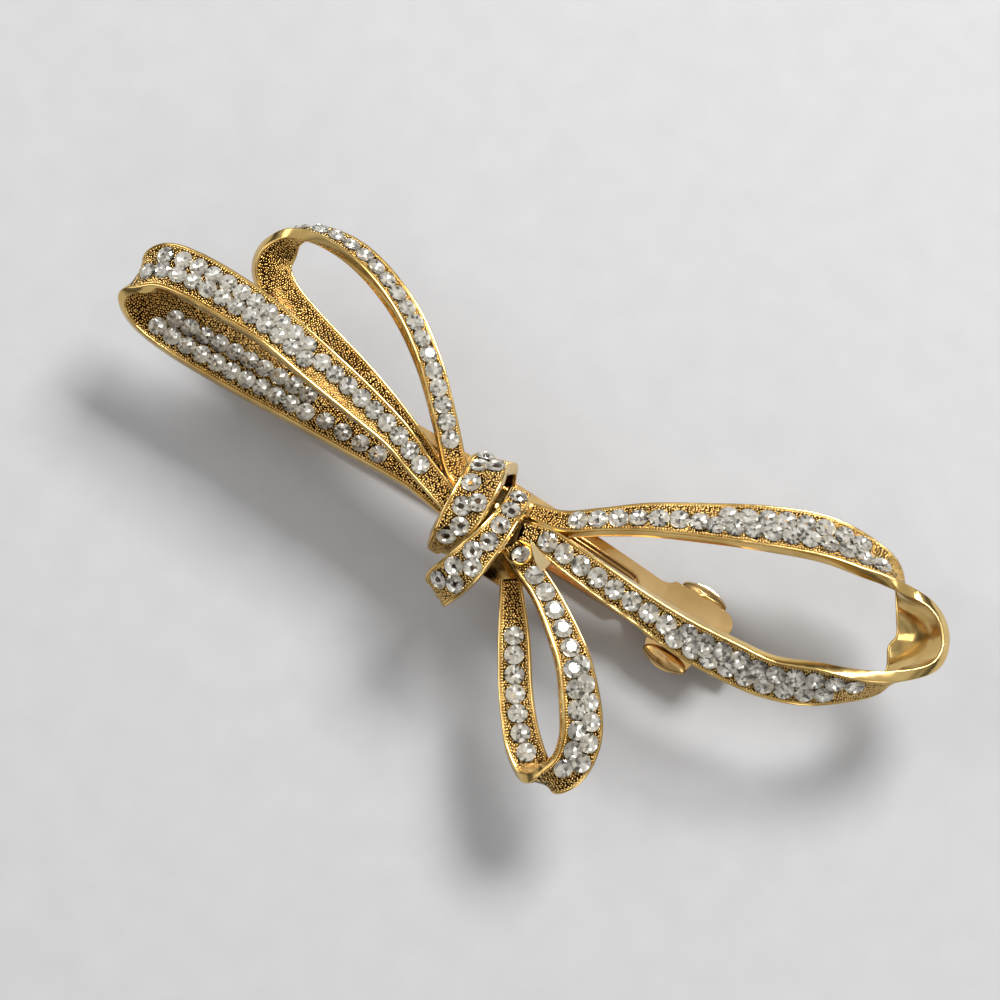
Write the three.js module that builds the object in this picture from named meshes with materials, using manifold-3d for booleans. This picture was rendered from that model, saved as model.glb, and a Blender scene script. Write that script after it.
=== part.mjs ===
// A gold bow set with clear stones, soldered on a sprung hair barrette.
// Millimetres, +Z up, +X along the clip from its hinge to its clasp.
import * as THREE from 'three';
import { mergeVertices } from 'three/addons/utils/BufferGeometryUtils.js';
import Module from 'manifold-3d';

const wasm = await Module();
wasm.setup();

// ---- driving dimensions of the clip, from its underside at Z = 0 ----
const plate = {
  width: 5.0, sheet: 0.7, crownHeight: 8.5, crownBack: 1.5, hingeHeight: 4.3,
  hingeEnd: -31, claspEnd: 28, padLength: 8, padOverhang: 0.8, cornerRadius: 1.6,
};
const groove = { fromHinge: 7, fromPad: 2.5, width: 2.8, depth: 0.2, ribWidth: 0.9 };
const ear = { sheet: 0.4, wall: 1.1 };
const pin = { radius: 0.5, headLip: 0.35, headThickness: 0.3, fromEnd: 2, height: 1.7 };
const arm = {
  sheet: 0.5, wallHeight: 1.2, channelShort: 2.5, rampShort: 0.4, frameHeight: 2.0,
  frameOver: 0.4, tabLength: 1.8, tabDrop: 0.5, earWall: 0.8,
};
const spring = {
  sideRoom: 0.35, sheet: 0.3, dropStart: 0.5, dropEnd: 0.8, fromPad: 3, curlWall: 0.3,
};
const clasp = {
  fromEnd: 4.5, windowLength: 5.2, railWidth: 0.6, prongLength: 3.4, prongSheet: 0.35,
  barbReach: 0.37, prongBottom: 0.95, webSheet: 0.35, webLength: 5, webWidth: 2.6,
  rivetRadius: 0.45, rivetHeadRadius: 0.75, rivetHeadHeight: 0.3,
};
const lobe = { length: 5.6, reach: 1.7, dip: 18, sheet: 0.4, holeRadius: 0.4, holeInset: 1.5 };
const fit = { sheetGap: 0.05, sideGap: 0.15, pinGap: 0.1, barbGap: 0.18 };

// ---- what follows from them ----
const padStart = plate.claspEnd - plate.padLength;
const padWidth = plate.width + 2 * plate.padOverhang;
const pinX = plate.hingeEnd + pin.fromEnd;
const claspX = plate.claspEnd - clasp.fromEnd;
const channelEnd = padStart - arm.channelShort;
const rampEnd = padStart - arm.rampShort;
const frameEnd = plate.claspEnd + arm.frameOver;
const tabEnd = frameEnd + arm.tabLength;
const earRadius = pin.radius + arm.earWall;
const armWidth = plate.width - 2 * (ear.sheet + fit.sideGap);
const springWidth = armWidth - 2 * (ear.sheet + spring.sideRoom);

// The bar's arch is a circle through its crown and its height over the pin.
const crownX = (plate.hingeEnd + plate.claspEnd) / 2 - plate.crownBack;
const archFall = plate.crownHeight - plate.hingeHeight;
const archRadius = ((pinX - crownX) ** 2 + archFall ** 2) / (2 * archFall);

// ---- driving dimensions of the bow ----
const knot = { x: 1.0, y: -4.5 };
const bowRise = 6.5;
const ribbon = { width: 5.6, rimWidth: 0.28, rimHeight: 1.3, web: 0.5 };
const bed = { gap: 0.08, thickness: 0.3 };
const stone = { height: 0.62, sunk: 0.14, table: 0.58, sides: 6 };

// Stones fit the ribbon that they are set in, so they are sized as shares of its width.
const stoneShare = { left: 0.3036, right: 0.3357, centre: 0.3214, cup: 0.3125 };
const diameter = Object.fromEntries(
  Object.entries(stoneShare).map(([place, share]) => [place, share * ribbon.width]));

const backplate = { length: 11, width: 9, sheet: 0.65, corner: 1.5, aside: [1.0, 1.1] };
const core = { length: 4.4, width: 5.8, height: 4.0, bevel: 0.6, aside: 0.3 };
const rootCup = { along: 0.0453, room: 0.125, wall: 0.2, floor: 0.2, depth: 0.5 };
const lozenge = {
  sheet: 0.35, lift: 0.6385, corners: [[-0.4, 2.1], [1.3, 0.4], [2.5, -0.2], [2.8, 1.1]],
};

// Each strip follows its stations: how far along and across the loop, as fractions of its
// length and breadth; its height, as a fraction of the bow's rise; where its width points,
// as a turn from the loop's axis and a slope; and its width, as a fraction of the ribbon's.
const loops = {
  left_loop: {
    axis: 175.6, length: 45.3, breadth: 5.2, sections: 40,
    stations: [
      [0.075, -0.05, 0.46, -90, 9, 0.42],
      [0.107, -0.09, 0.52, -91, 9, 0.44],
      [0.200, -0.26, 0.65, -96, 5, 0.50],
      [0.286, -0.45, 0.77, -90, 4, 0.58],
      [0.400, -0.54, 0.89, -88, 0, 0.70],
      [0.515, -0.61, 0.96, -89, -4, 0.78],
      [0.657, -0.71, 0.97, -86, -9, 0.84],
      [0.771, -0.70, 0.93, -83, -8, 0.93],
      [0.889, -0.61, 0.86, -80, -7, 0.95],
      [0.965, -0.43, 0.73, -79, -5, 0.96],
      [0.995, -0.05, 0.45, -80, -2, 0.98],
      [0.956, 0.21, 0.19, -86, -1, 1.00],
      [0.865, 0.20, 0.10, -89, -3, 1.11],
      [0.699, 0.02, 0.06, -88, -5, 1.20],
      [0.544, -0.13, 0.06, -88, -5, 1.14],
      [0.367, -0.14, 0.08, -90, -3, 0.80],
      [0.214, -0.12, 0.15, -90, 4, 0.49],
      [0.121, -0.03, 0.18, -90, 7, 0.38],
      [0.085, 0.00, 0.18, -90, 7, 0.36],
    ],
  },
  narrow_loop: {
    axis: 159.7, length: 37.3, breadth: 8.9, sections: 34,
    stations: [
      [0.140, -0.19, 0.37, -100, -9, 0.40],
      [0.196, -0.23, 0.41, -104, -9, 0.45],
      [0.307, -0.44, 0.57, -116, -13, 0.46],
      [0.469, -0.71, 0.69, -120, -21, 0.49],
      [0.639, -0.87, 0.71, -98, -31, 0.55],
      [0.819, -0.86, 0.65, -68, -41, 0.62],
      [0.945, -0.68, 0.57, -60, -54, 0.62],
      [1.000, -0.42, 0.49, -100, -66, 0.62],
      [0.998, -0.17, 0.41, -144, -42, 0.70],
      [0.982, 0.00, 0.35, -137, -28, 0.74],
      [0.946, 0.09, 0.29, -122, -20, 0.74],
      [0.880, 0.13, 0.23, -108, -13, 0.72],
      [0.751, 0.10, 0.21, -95, -6, 0.70],
      [0.588, 0.01, 0.20, -93, -2, 0.62],
      [0.443, -0.04, 0.20, -84, -2, 0.54],
      [0.300, -0.06, 0.18, -83, 0, 0.41],
      [0.225, -0.05, 0.16, -83, 0, 0.32],
    ],
  },
  right_loop: {
    axis: 17.7, length: 47.0, breadth: 15.6, sections: 46,
    stations: [
      [0.096, 0.210, 0.28, 110, -18, 0.36],
      [0.173, 0.190, 0.36, 114, -19, 0.46],
      [0.256, 0.260, 0.43, 112, -20, 0.52],
      [0.358, 0.350, 0.48, 106, -21, 0.66],
      [0.486, 0.425, 0.50, 97, -22, 0.80],
      [0.610, 0.487, 0.50, 95, -21, 0.92],
      [0.736, 0.520, 0.46, 97, -24, 0.98],
      [0.836, 0.478, 0.37, 89, -36, 0.97],
      [0.904, 0.403, 0.31, 81, -54, 0.83],
      [0.969, 0.227, 0.18, -164, -51, 0.87],
      [0.998, 0.074, 0.14, -177, -40, 1.10],
      [0.992, -0.085, 0.18, 166, -40, 1.20],
      [0.963, -0.246, 0.22, 177, -70, 0.99],
      [0.909, -0.353, 0.26, -123, -78, 0.96],
      [0.803, -0.441, 0.34, -118, -48, 0.92],
      [0.695, -0.475, 0.35, -104, -45, 0.85],
      [0.593, -0.427, 0.38, -107, -39, 0.83],
      [0.493, -0.355, 0.40, -109, -36, 0.77],
      [0.393, -0.250, 0.42, -107, -31, 0.66],
      [0.287, -0.132, 0.42, -105, -24, 0.62],
      [0.209, -0.036, 0.39, -107, -19, 0.58],
      [0.142, 0.050, 0.34, -106, -18, 0.52],
      [0.085, 0.080, 0.28, -106, -18, 0.40],
    ],
  },
  small_loop: {
    axis: -43.6, length: 27.3, breadth: 6.7, sections: 30,
    stations: [
      [0.090, 0.38, 0.32, 100, -4, 0.38],
      [0.172, 0.51, 0.50, 104, -4, 0.46],
      [0.315, 0.70, 0.58, 96, -8, 0.49],
      [0.494, 0.82, 0.65, 90, -12, 0.60],
      [0.624, 0.85, 0.65, 88, -17, 0.68],
      [0.783, 0.78, 0.59, 80, -20, 0.78],
      [0.888, 0.658, 0.51, 69, -20, 0.78],
      [0.969, 0.392, 0.37, 58, -20, 0.72],
      [0.985, 0.043, 0.22, 58, -16, 0.66],
      [0.931, -0.104, 0.09, 72, -9, 0.66],
      [0.837, -0.163, 0.08, 78, -3, 0.69],
      [0.730, -0.14, 0.08, 78, 0, 0.66],
      [0.610, -0.07, 0.08, 74, 0, 0.64],
      [0.427, 0.09, 0.10, 74, -2, 0.60],
      [0.288, 0.20, 0.15, 68, -2, 0.48],
      [0.200, 0.26, 0.17, 62, -3, 0.40],
    ],
  },
  // The two bands wrap over the knot's core; their stations are millimetres from its centre.
  knot_band_upper: {
    axis: 0, length: 1, breadth: 1, sections: 16,
    stations: [
      [-1.6, 5.6, 0.10, 25, 0, 0.70],
      [-2.3, 6.9, 0.35, 16, 0, 0.72],
      [-2.7, 5.8, 0.74, 21, 0, 0.77],
      [-2.25, 3.9, 1.00, 28, 3, 0.79],
      [-1.95, 1.5, 1.10, 32, 3, 0.78],
      [-1.95, -0.7, 1.06, 32, 3, 0.73],
      [-2.2, -2.6, 0.88, 27, 3, 0.64],
      [-2.6, -3.6, 0.48, 20, 0, 0.50],
      [-2.2, -3.3, 0.12, 20, 0, 0.44],
    ],
  },
  knot_band_lower: {
    axis: 0, length: 1, breadth: 1, sections: 18,
    stations: [
      [1.3, 4.6, 0.12, 14, 0, 0.44],
      [1.4, 5.3, 0.42, 14, 0, 0.46],
      [1.9, 3.6, 0.76, 14, 0, 0.48],
      [2.05, 1.6, 0.95, 17, 0, 0.50],
      [1.95, -0.9, 1.06, 14, 0, 0.57],
      [1.55, -3.3, 1.04, 3, 0, 0.66],
      [0.9, -5.5, 0.88, -10, 0, 0.74],
      [0.05, -7.1, 0.60, -20, 0, 0.74],
      [-0.3, -7.6, 0.30, -24, 0, 0.64],
      [0.2, -6.6, 0.08, -24, 0, 0.50],
    ],
  },
};

// Stones are set in rows: from and to are shares of the strip's length, count is the number of
// stones, and row is where they sit across it, from -1 at one rim to 1 at the other.
const stoneStrips = {
  left_upper_stones: {
    on: 'left_loop', face: -1, diameter: diameter.left,
    rows: [
      { from: 0.0679, to: 0.2370, count: 9, row: 0.4 },
      { from: 0.2646, to: 0.4694, count: 11, row: 0.7 },
      { from: 0.2554, to: 0.4878, count: 12, row: -0.5 },
    ],
  },
  left_lower_stones: {
    on: 'left_loop', face: 1, diameter: diameter.left,
    rows: [
      { from: 0.5706, to: 0.7823, count: 11, row: -0.75 },
      { from: 0.5833, to: 0.7719, count: 10, row: 0.2 },
      { from: 0.8087, to: 0.8858, count: 4, row: -0.57 },
    ],
  },
  narrow_stones: {
    on: 'narrow_loop', face: -1, diameter: diameter.left,
    rows: [
      { from: 0.0711, to: 0.5049, count: 17, row: -0.3 },
    ],
  },
  right_upper_stones: {
    on: 'right_loop', face: 1, diameter: diameter.right,
    rows: [
      { from: 0.0548, to: 0.1874, count: 7, row: -0.4 },
      { from: 0.2053, to: 0.3938, count: 10, row: -0.67 },
      { from: 0.2190, to: 0.3643, count: 8, row: 0.6 },
    ],
  },
  right_lower_stones: {
    on: 'right_loop', face: 1, diameter: diameter.right,
    rows: [
      { from: 0.5917, to: 0.7823, count: 10, row: -0.83 },
      { from: 0.6223, to: 0.7918, count: 9, row: 0.62 },
      { from: 0.8076, to: 0.9655, count: 8, row: -0.4 },
    ],
  },
  small_front_stones: {
    on: 'small_loop', face: 1, diameter: diameter.centre,
    rows: [
      { from: 0.0907, to: 0.2602, count: 5, row: -0.1 },
      { from: 0.3036, to: 0.5125, count: 6, row: -0.75 },
      { from: 0.2976, to: 0.4869, count: 6, row: 0.85 },
    ],
  },
  small_back_stones: {
    on: 'small_loop', face: -1, diameter: diameter.centre,
    rows: [
      { from: 0.6367, to: 0.8811, count: 7, row: -0.1 },
    ],
  },
};

// Single stones on the knot: share of the band's length, and place across it.
const knotStones = {
  knot_band_upper: {
    diameter: diameter.centre,
    places: [
      [0.220, -0.9], [0.325, -0.8], [0.305, 1], [0.451, -0.8],
      [0.531, 0.9], [0.581, -0.5], [0.666, 0.6], [0.741, -0.5],
    ],
  },
  knot_band_lower: {
    diameter: diameter.centre,
    places: [
      [0.196, 0.4], [0.303, 0.2], [0.405, 0.3], [0.499, 0.4],
      [0.578, -0.8], [0.629, 1], [0.690, -0.9], [0.741, 0.9],
      [0.806, -0.8],
    ],
  },
};

const gold = { color: 0xc9a04c, metalness: 1.0, roughness: 0.28 };
const polishedGold = { color: 0xe0bd70, metalness: 1.0, roughness: 0.15 };
const crystal = { color: 0xe6eaee, metalness: 0.1, roughness: 0.08 };

// ---- helpers ----
const rad = THREE.MathUtils.degToRad;

function archTop(x) {
  const run = x - crownX;
  return plate.crownHeight - (archRadius - Math.sqrt(archRadius ** 2 - run ** 2));
}

const padTop = archTop(padStart);
const padUnderside = padTop - plate.sheet;
const seat = plate.crownHeight + fit.sheetGap + backplate.sheet;

function bare(geometry) {
  const clean = geometry.index ? geometry : geometry.clone();
  clean.deleteAttribute('normal');
  clean.deleteAttribute('uv');
  return mergeVertices(clean, 1e-4);
}

function solid(geometry) {
  const clean = bare(geometry);
  const vertProperties = new Float32Array(clean.attributes.position.array);
  const triVerts = new Uint32Array(clean.index.array);
  return new wasm.Manifold(new wasm.Mesh({ numProp: 3, vertProperties, triVerts }));
}

// Slivers shorter than this, left where a cut just misses a corner, are closed up.
const sliver = 0.01;

function geometryOf(body) {
  const mesh = body.simplify(sliver).getMesh();
  const geometry = new THREE.BufferGeometry();
  geometry.setAttribute('position', new THREE.BufferAttribute(mesh.vertProperties, 3));
  geometry.setIndex(new THREE.BufferAttribute(mesh.triVerts, 1));
  return geometry;
}

function joined(...bodies) {
  return bodies.reduce((sum, body) => sum.add(body));
}

function outline(points) {
  return new THREE.Shape(points.map(([a, b]) => new THREE.Vector2(a, b)));
}

// A plan outline in X and Y, raised from one height to another.
function raised(shape, low, high, curveSegments = 6) {
  const geometry = new THREE.ExtrudeGeometry(
    shape, { depth: high - low, bevelEnabled: false, curveSegments });
  return solid(geometry.translate(0, 0, low));
}

// A side outline in X and Z, stretched across Y.
function acrossY(shape, low, high, curveSegments = 6) {
  const geometry = new THREE.ExtrudeGeometry(
    shape, { depth: high - low, bevelEnabled: false, curveSegments });
  return solid(geometry.rotateX(Math.PI / 2).translate(0, high, 0));
}

// An end outline in Y and Z, stretched along X.
function alongX(shape, low, high, curveSegments = 6) {
  const geometry = new THREE.ExtrudeGeometry(
    shape, { depth: high - low, bevelEnabled: false, curveSegments });
  const turn = new THREE.Matrix4().makeBasis(
    new THREE.Vector3(0, 1, 0), new THREE.Vector3(0, 0, 1), new THREE.Vector3(1, 0, 0));
  return solid(geometry.applyMatrix4(turn).translate(low, 0, 0));
}

function rectangle(left, right, low, high) {
  return outline([[left, low], [right, low], [right, high], [left, high]]);
}

// A rectangle with round corners, in the plane of an outline.
function roundedRectangle(left, right, low, high, radius) {
  const shape = new THREE.Shape();
  shape.moveTo(left + radius, low);
  shape.lineTo(right - radius, low);
  shape.absarc(right - radius, low + radius, radius, -Math.PI / 2, 0);
  shape.lineTo(right, high - radius);
  shape.absarc(right - radius, high - radius, radius, 0, Math.PI / 2);
  shape.lineTo(left + radius, high);
  shape.absarc(left + radius, high - radius, radius, Math.PI / 2, Math.PI);
  shape.lineTo(left, low + radius);
  shape.absarc(left + radius, low + radius, radius, Math.PI, Math.PI * 1.5);
  return shape;
}

function disc(x, y, radius) {
  const shape = new THREE.Shape();
  shape.absarc(x, y, radius, 0, Math.PI * 2);
  return shape;
}

// ---- ribbons ----

// Reads a strip's stations into points, width directions and widths that run smoothly.
function ribbonPath({ axis, length, breadth, stations }) {
  const direction = new THREE.Vector2(Math.cos(rad(axis)), Math.sin(rad(axis)));
  const centres = [];
  const widths = [];
  for (const [along, across, height, turn, slope, wide] of stations) {
    centres.push(new THREE.Vector3(
      knot.x + along * length * direction.x - across * breadth * direction.y,
      knot.y + along * length * direction.y + across * breadth * direction.x,
      seat + height * bowRise));
    const heading = rad(axis + turn);
    const level = Math.cos(rad(slope));
    widths.push(new THREE.Vector3(
      Math.cos(heading) * level, Math.sin(heading) * level, Math.sin(rad(slope)),
    ).multiplyScalar(wide * ribbon.width));
  }
  const centreCurve = new THREE.CatmullRomCurve3(centres, false, 'catmullrom', 0.5);
  const widthCurve = new THREE.CatmullRomCurve3(widths, false, 'catmullrom', 0.5);
  const samples = 600;
  const points = centreCurve.getPoints(samples);
  const travelled = [0];
  for (let i = 1; i <= samples; i += 1) {
    travelled.push(travelled[i - 1] + points[i].distanceTo(points[i - 1]));
  }

  // The frame at a distance along the strip: centre, across, normal and half width.
  function at(distance) {
    const next = Math.max(1, travelled.findIndex((d) => d >= distance));
    const share = (distance - travelled[next - 1]) / (travelled[next] - travelled[next - 1]);
    const t = THREE.MathUtils.clamp((next - 1 + share) / samples, 0, 1);
    const centre = centreCurve.getPoint(t);
    const tangent = centreCurve.getTangent(t);
    const across = widthCurve.getPoint(t);
    const half = across.length() / 2;
    across.addScaledVector(tangent, -across.dot(tangent)).normalize();
    const normal = new THREE.Vector3().crossVectors(tangent, across);
    return { centre, tangent, across, normal, half };
  }
  return { length: travelled[samples], at };
}

// Sweeps a section, given as points across and along the normal, between two distances.
// Each face's diagonal rises across the strip as it goes along, so that faces lying one over
// the other fold the same way where the strip twists.
function swept(path, from, to, steps, sectionAt) {
  const positions = [];
  const index = [];
  const outer = sectionAt(path.at(from).half);
  const count = outer.length;
  for (let i = 0; i <= steps; i += 1) {
    const { centre, across, normal, half } = path.at(from + (to - from) * (i / steps));
    for (const [a, b] of sectionAt(half)) {
      positions.push(...centre.clone().addScaledVector(across, a).addScaledVector(normal, b));
    }
  }
  const corners = outer.map(([a, b]) => new THREE.Vector2(a, b));
  for (const [a, b, c] of THREE.ShapeUtils.triangulateShape(corners, [])) {
    index.push(a, c, b);
    index.push(steps * count + a, steps * count + b, steps * count + c);
  }
  for (let j = 0; j < count; j += 1) {
    const next = (j + 1) % count;
    const rising = outer[next][0] > outer[j][0]
      || (outer[next][0] === outer[j][0] && outer[next][1] > outer[j][1]);
    for (let i = 0; i < steps; i += 1) {
      const here = i * count + j;
      const beside = i * count + next;
      const ahead = here + count;
      const opposite = beside + count;
      if (rising) {
        index.push(here, beside, opposite, here, opposite, ahead);
      } else {
        index.push(here, beside, ahead, beside, opposite, ahead);
      }
    }
  }
  const geometry = new THREE.BufferGeometry();
  geometry.setAttribute('position', new THREE.Float32BufferAttribute(positions, 3));
  geometry.setIndex(index);
  return geometry;
}

// The ribbon's section: two rims joined by a thin web, so both faces have a channel.
function ribbonSection(half) {
  const inner = half - ribbon.rimWidth;
  const rim = ribbon.rimHeight / 2;
  const web = ribbon.web / 2;
  return [
    [-half, -rim], [-inner, -rim], [-inner, -web], [inner, -web], [inner, -rim], [half, -rim],
    [half, rim], [inner, rim], [inner, web], [-inner, web], [-inner, rim], [-half, rim],
  ];
}

function ribbonStrip(name) {
  const path = paths[name];
  return swept(path, 0, path.length, loops[name].sections, ribbonSection);
}

// The bed that stones are set in: it fills the channel's floor on one face of the ribbon.
function stoneBed(path, from, to, face, sections) {
  const low = ribbon.web / 2 + bed.gap;
  const high = low + bed.thickness;
  const step = path.length / sections;
  const first = Math.floor(from / step);
  const last = Math.ceil(to / step);
  const section = (half) => {
    const reach = half - ribbon.rimWidth - bed.gap;
    const levels = face > 0 ? [low, high] : [-high, -low];
    return [[-reach, levels[0]], [reach, levels[0]], [reach, levels[1]], [-reach, levels[1]]];
  };
  return solid(swept(path, first * step, last * step, last - first, section));
}

// Stands a piece made about +Y on one face of a strip, off to one side and at a height.
function stoodOn(path, distance, geometry, face, offset, height) {
  const { centre, across, normal } = path.at(distance);
  const up = normal.clone().multiplyScalar(face);
  const side = new THREE.Vector3().crossVectors(across, up);
  const turn = new THREE.Matrix4().makeBasis(across, up, side);
  const place = centre.clone().addScaledVector(across, offset).addScaledVector(up, height);
  return bare(geometry.applyMatrix4(turn).translate(place.x, place.y, place.z));
}

// One cut stone: a six-sided frustum, wide at the girdle and narrow at the table.
function cutStone(path, distance, row, across, face, bottom) {
  const radius = across / 2;
  const room = path.at(distance).half - ribbon.rimWidth - bed.gap - radius;
  const geometry = new THREE.CylinderGeometry(
    radius * stone.table, radius, stone.height, stone.sides);
  return stoodOn(path, distance, geometry, face, row * room, bottom + stone.height / 2);
}

function stoneStrip({ on, face, diameter: across, rows }) {
  const path = paths[on];
  const from = Math.min(...rows.map((row) => row.from)) * path.length - across / 2;
  const to = Math.max(...rows.map((row) => row.to)) * path.length + across / 2;
  const bottom = ribbon.web / 2 + bed.gap + bed.thickness - stone.sunk;
  const pieces = [stoneBed(path, from, to, face, loops[on].sections)];
  for (const row of rows) {
    for (let i = 0; i < row.count; i += 1) {
      const share = THREE.MathUtils.lerp(row.from, row.to, i / (row.count - 1));
      const distance = share * path.length;
      pieces.push(solid(cutStone(path, distance, row.row, across, face, bottom)));
    }
  }
  return geometryOf(joined(...pieces));
}

function knotStone(band, [share, row]) {
  const path = paths[band];
  const bottom = ribbon.web / 2 + 2 * bed.gap;
  return cutStone(path, share * path.length, row, knotStones[band].diameter, 1, bottom);
}

const paths = Object.fromEntries(
  Object.entries(loops).map(([name, loop]) => [name, ribbonPath(loop)]));

// ---- the bow's base ----

function bowBackplate() {
  const left = knot.x + backplate.aside[0] - backplate.length / 2;
  const low = knot.y + backplate.aside[1] - backplate.width / 2;
  const shape = roundedRectangle(
    left, left + backplate.length, low, low + backplate.width, backplate.corner);
  return geometryOf(raised(shape, seat - backplate.sheet, seat));
}

function knotCore() {
  const bottom = seat + fit.sheetGap;
  const { length, width, height, bevel } = core;
  const shape = new THREE.Shape();
  shape.absellipse(
    knot.x, knot.y + core.aside, length / 2 - bevel, width / 2 - bevel, 0, Math.PI * 2);
  const geometry = new THREE.ExtrudeGeometry(shape, {
    depth: height - 2 * bevel, bevelEnabled: true, bevelSize: bevel, bevelThickness: bevel,
    bevelSegments: 2, curveSegments: 8,
  });
  return geometry.translate(0, 0, bottom + bevel);
}

const cupBottom = ribbon.rimHeight / 2 + bed.gap;
const cupDistance = rootCup.along * paths.small_loop.length;

// A round cup on the small loop's root holds the first stone.
function stoneCup() {
  const { room, wall, floor, depth } = rootCup;
  const radius = diameter.cup / 2 + room + wall;
  const profile = [
    [0, 0], [radius, 0], [radius, depth], [radius - wall, depth], [radius - wall, floor],
    [0, floor],
  ].map(([a, b]) => new THREE.Vector2(a, b));
  const geometry = new THREE.LatheGeometry(profile, 12);
  return stoodOn(paths.small_loop, cupDistance, geometry, 1, 0, cupBottom);
}

function cupStone() {
  const bottom = cupBottom + rootCup.floor + bed.gap;
  return cutStone(paths.small_loop, cupDistance, 0, diameter.cup, 1, bottom);
}

// A smooth lozenge bridges the corner between the right loop and the small loop.
function cornerLozenge() {
  const { centre } = paths.small_loop.at(cupDistance);
  const shape = outline(lozenge.corners);
  const geometry = new THREE.ExtrudeGeometry(
    shape, { depth: lozenge.sheet, bevelEnabled: false });
  return geometry.translate(centre.x, centre.y, seat + lozenge.lift * bowRise);
}

// ---- the barrette clip ----

function sideOfPlate(topOffset, bottomOffset, start, end) {
  const steps = 14;
  const upper = [];
  const lower = [];
  for (let i = 0; i <= steps; i += 1) {
    const x = start + (end - start) * (i / steps);
    upper.push([x, archTop(x) + topOffset]);
    lower.push([x, archTop(x) + bottomOffset]);
  }
  return { upper, lower };
}

function planOfPlate() {
  const half = plate.width / 2;
  const padHalf = padWidth / 2;
  const r = plate.cornerRadius;
  const shape = new THREE.Shape();
  shape.moveTo(plate.hingeEnd + r, -half);
  shape.lineTo(padStart - 1.2, -half);
  shape.quadraticCurveTo(padStart - 0.2, -half, padStart + 0.4, -padHalf);
  shape.lineTo(plate.claspEnd - r, -padHalf);
  shape.absarc(plate.claspEnd - r, -padHalf + r, r, -Math.PI / 2, 0);
  shape.lineTo(plate.claspEnd, padHalf - r);
  shape.absarc(plate.claspEnd - r, padHalf - r, r, 0, Math.PI / 2);
  shape.lineTo(padStart + 0.4, padHalf);
  shape.quadraticCurveTo(padStart - 0.2, half, padStart - 1.2, half);
  shape.lineTo(plate.hingeEnd + r, half);
  shape.absarc(plate.hingeEnd + r, half - r, r, Math.PI / 2, Math.PI);
  shape.lineTo(plate.hingeEnd, -half + r);
  shape.absarc(plate.hingeEnd + r, -half + r, r, Math.PI, Math.PI * 1.5);
  return shape;
}

// An ear hangs from the plate and is round about the pin.
function hingeEar(low) {
  const half = pin.radius + ear.wall;
  const underPlate = archTop(pinX - half) - plate.sheet / 2;
  const shape = new THREE.Shape();
  shape.moveTo(pinX + half, archTop(pinX + half) - plate.sheet / 2);
  shape.lineTo(pinX - half, underPlate);
  shape.lineTo(pinX - half, pin.height);
  shape.absarc(pinX, pin.height, half, Math.PI, Math.PI * 2);
  return acrossY(shape, low, low + ear.sheet, 8);
}

function topPlate() {
  const { upper, lower } = sideOfPlate(0, -plate.sheet, plate.hingeEnd - 1, padStart);
  upper.push([plate.claspEnd + 1, padTop]);
  lower.push([plate.claspEnd + 1, padUnderside]);
  const band = acrossY(outline([...lower, ...upper.reverse()]), -plate.width, plate.width);
  let body = band.intersect(raised(planOfPlate(), 0, plate.crownHeight + 1));
  for (const low of [-plate.width / 2, plate.width / 2 - ear.sheet]) {
    body = body.add(hingeEar(low));
  }
  const pressed = sideOfPlate(1, -groove.depth, plate.hingeEnd, padStart);
  const skin = acrossY(
    outline([...pressed.lower, ...pressed.upper.reverse()]), -plate.width, plate.width);
  const start = plate.hingeEnd + groove.fromHinge;
  const end = padStart - groove.fromPad;
  const half = groove.width / 2;
  const ribHalf = groove.ribWidth / 2;
  const slot = raised(
    roundedRectangle(start, end, -half, half, half - 0.05), 0, plate.crownHeight + 2);
  const rib = raised(roundedRectangle(
    start + 2 * ribHalf, end - 2 * ribHalf, -ribHalf, ribHalf, ribHalf - 0.05),
  0, plate.crownHeight + 2);
  body = body.subtract(slot.subtract(rib).intersect(skin));
  const pinHole = acrossY(disc(pinX, pin.height, pin.radius + fit.sheetGap), -4, 4, 8);
  const rivetHole = raised(disc(claspX, 0, clasp.rivetRadius + fit.sheetGap), 0, 9, 8);
  return geometryOf(body.subtract(pinHole).subtract(rivetHole));
}

// A plain rivet turned on its axis: a shank with a head at each end.
function rivetProfile(shankRadius, shankLength, headRadius, headHeight) {
  const end = shankLength / 2;
  return [
    [0, -end - headHeight], [headRadius * 0.7, -end - headHeight], [headRadius, -end],
    [shankRadius, -end], [shankRadius, end],
    [headRadius, end], [headRadius * 0.7, end + headHeight], [0, end + headHeight],
  ].map(([a, b]) => new THREE.Vector2(a, b));
}

function hingePin() {
  const length = plate.width + 2 * fit.sheetGap;
  const headRadius = pin.radius + pin.headLip;
  const profile = rivetProfile(pin.radius, length, headRadius, pin.headThickness);
  return new THREE.LatheGeometry(profile, 16).translate(pinX, 0, pin.height);
}

function claspRivet() {
  const top = padTop + fit.sheetGap;
  const bottom = padUnderside - clasp.webSheet - 2 * fit.sheetGap;
  const profile = rivetProfile(
    clasp.rivetRadius, top - bottom, clasp.rivetHeadRadius, clasp.rivetHeadHeight);
  const geometry = new THREE.LatheGeometry(profile, 16).rotateX(Math.PI / 2);
  return geometry.translate(claspX, 0, (top + bottom) / 2);
}

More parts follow.
